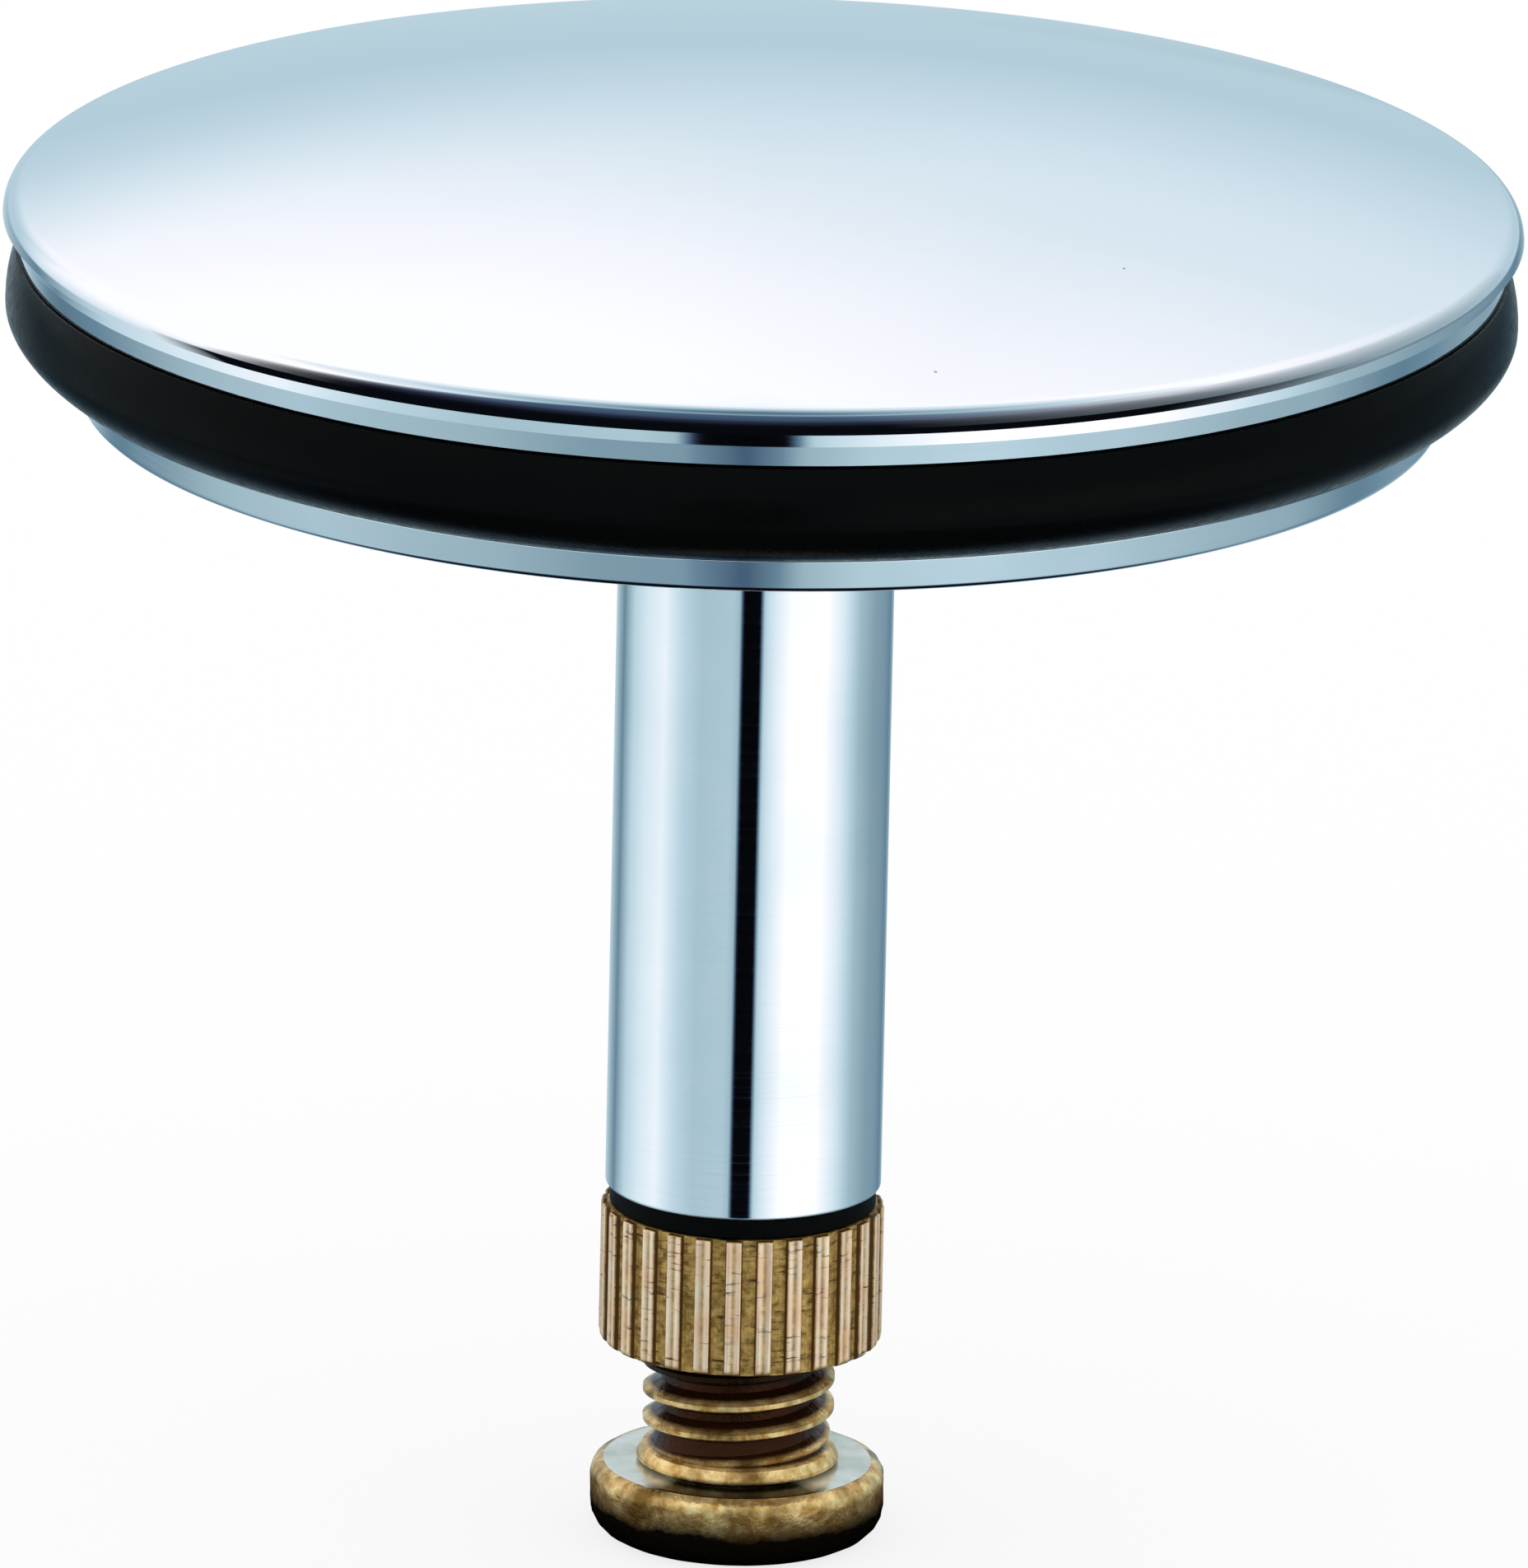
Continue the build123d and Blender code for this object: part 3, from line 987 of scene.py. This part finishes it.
def dark_card():
    """Card seen by metal alone, clear for every other ray."""
    material, tree, shader, place = new_finish("dark_card", 0.0)
    tree.nodes.remove(shader)
    at = add(tree, "SeparateXYZ", {0: place}).outputs
    turn = calculate(tree, "ARCTAN2", at["X"], product(tree, at["Y"], -1))
    rise = calculate(tree, "SUBTRACT", at["Z"], edge_height)
    rise = product(tree, rise, calculate(tree, "COSINE", turn))
    up = calculate(tree, "ARCTAN2", rise, edge_distance)
    elevation = calculate(tree, "DEGREES", up)
    # A mirror turned by an angle shows what lies at twice that angle
    swing = calculate(tree, "POWER", calculate(tree, "COSINE", up), edge_swing)
    doubled = calculate(tree, "DEGREES", product(tree, turn, 2))
    azimuth = calculate(tree, "DIVIDE", doubled, swing)
    strip = product(
        tree,
        level_up(tree, elevation, strip_up),
        level_round(tree, azimuth, strip_round),
    )
    reach = calculate(tree, "MAXIMUM", level_round(tree, azimuth, edge_card_reach), strip)
    fade = spread(tree, at["Z"], edge_card_top - edge_card_fade, edge_card_top, 1, 0)
    shown = add(tree, "LightPath").outputs["Is Glossy Ray"]
    solid = product(tree, reach, fade, shown)
    dark = tinted(tree, level_up(tree, elevation, edge_card_levels))
    glow = add(tree, "Emission", {"Color": dark, "Strength": card_light}).outputs[0]
    clear = add(tree, "BsdfTransparent").outputs[0]
    surface = add(tree, "MixShader", {0: solid, 1: clear, 2: glow}).outputs[0]
    tree.links.new(surface, tree.nodes["Material Output"].inputs["Surface"])
    return material


def dark_edge_card():
    """Upright band round the cap, which gives the cap's edge its dark line."""
    radius = cap_radius + edge_card_gap
    outline = [(radius, edge_card_foot), (radius, edge_card_top)]
    card = turned("dark_edge_card", outline, wide_sides)
    card.data.materials.append(dark_card())


# Floor, with a painted shadow round the foot that only metal sees
floor_reach = 6.0
floor_level = 0.9
floor_glow = 0.8
painted_shadow_radius = 0.0136
painted_shadow_edge = painted_shadow_radius * 1.08
painted_shadow_colour = (0.003, 0.003, 0.004, 1)


def floor_white():
    """Plain white that keeps a soft shadow. Metal shows only its dark patch, a painted shadow round
    the foot.
    """
    material, tree, shader, place = new_finish("floor_white", 0.0)
    tree.nodes.remove(shader)
    path = add(tree, "LightPath").outputs
    pale = add(tree, "BsdfDiffuse", {"Color": grey(floor_level)}).outputs[0]
    white = add(tree, "BsdfDiffuse", {"Color": grey(1)}).outputs[0]
    glow = add(tree, "Emission", {"Color": grey(1), "Strength": 1.0}).outputs[0]
    seen = add(tree, "MixShader", {0: floor_glow, 1: white, 2: glow}).outputs[0]
    plain = add(tree, "MixShader", {0: path["Is Camera Ray"], 1: pale, 2: seen}).outputs[0]
    dark = add(tree, "BsdfDiffuse", {"Color": painted_shadow_colour}).outputs[0]
    clear = add(tree, "BsdfTransparent").outputs[0]
    # Painted shadow round the foot, seen by metal alone
    near = spread(tree, radius_of(tree, place), painted_shadow_radius, painted_shadow_edge, 1, 0)
    patch = add(tree, "MixShader", {0: near, 1: clear, 2: dark}).outputs[0]
    surface = add(tree, "MixShader", {0: path["Is Glossy Ray"], 1: plain, 2: patch}).outputs[0]
    tree.links.new(surface, tree.nodes["Material Output"].inputs["Surface"])
    return material


def floor():
    """Plain floor that stays under the screw's head as the screw moves."""
    mesh = bmesh.new()
    bmesh.ops.create_grid(mesh, x_segments=1, y_segments=1, size=floor_reach)
    plane = piece_from(mesh, "floor")
    plane.data.materials.append(floor_white())
    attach(plane, "screw")


# Camera at the photograph's angle. Its lens and sensor are in millimetres.
camera_target = Vector((0.000516, 0, 0.032509))
camera_distance = 1.78
camera_elevation = math.radians(16.75)
camera_roll = math.radians(1.23)
camera_lens = 983.6
camera_sensor = 36
camera_nearest = 0.1
camera_furthest = 50


def camera():
    """Long lens from the front, a little above the part."""
    data = bpy.data.cameras.new("camera")
    data.lens = camera_lens
    data.sensor_width = camera_sensor
    data.clip_start = camera_nearest
    data.clip_end = camera_furthest
    view = bpy.data.objects.new("camera", data)
    bpy.context.scene.collection.objects.link(view)
    back = Vector((0, -math.cos(camera_elevation), math.sin(camera_elevation)))
    upright = Vector((0, math.sin(camera_elevation), math.cos(camera_elevation)))
    across = Vector((1, 0, 0))
    right = across * math.cos(camera_roll) + upright * math.sin(camera_roll)
    up = upright * math.cos(camera_roll) - across * math.sin(camera_roll)
    turn = Matrix((right, up, back)).transposed().to_4x4()
    view.matrix_world = Matrix.Translation(camera_target + back * camera_distance) @ turn
    bpy.context.scene.camera = view


# Every piece with the node that it stands for, its body, its material slot and its material
plate_chrome = turned_chrome("turned_chrome_plate", around=60, along=5200, depth=0.00002)
stem_chrome = turned_chrome("turned_chrome_stem", around=60, along=4200, depth=0.00002)
seal_rubber = rubber("seal_rubber", tone=(3, 4, 4), roughness=0.24, bump=0.04)
matt_rubber = rubber("matt_rubber", tone=(4, 4, 4), roughness=0.5, bump=0.2)
pieces = (
    (dome_cap(), "dome_cap", "plug", "cap_chrome", mirror_chrome()),
    (carrier_plate(), "carrier_plate", "plug", "plate_chrome", plate_chrome),
    (lip_seal(), "lip_seal", "plug", "seal_rubber", seal_rubber),
    (clamp_flange(), "clamp_flange", "plug", "flange_chrome", plate_chrome),
    (stem(), "stem", "plug", "stem_chrome", stem_chrome),
    (lock_washer(), "lock_washer", "washer", "washer_rubber", matt_rubber),
    (lock_nut(), "lock_nut", "nut", "nut_brass", knurled_brass()),
    (adjusting_screw(), "adjusting_screw", "screw", "screw_brass", raw_brass()),
)
for piece, node, body, slot, material in pieces:
    piece.data.materials.append(material)
    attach(piece, body)
    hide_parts(node)

# The stud and the gasket inside keep their own shapes
for node, material in (("centre_stud", machined_brass()), ("stem_gasket", matt_rubber)):
    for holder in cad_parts[node].material_slots:
        holder.material = material

studio()
dark_edge_card()
floor()
camera()
bpy.context.scene.view_settings.view_transform = "Standard"
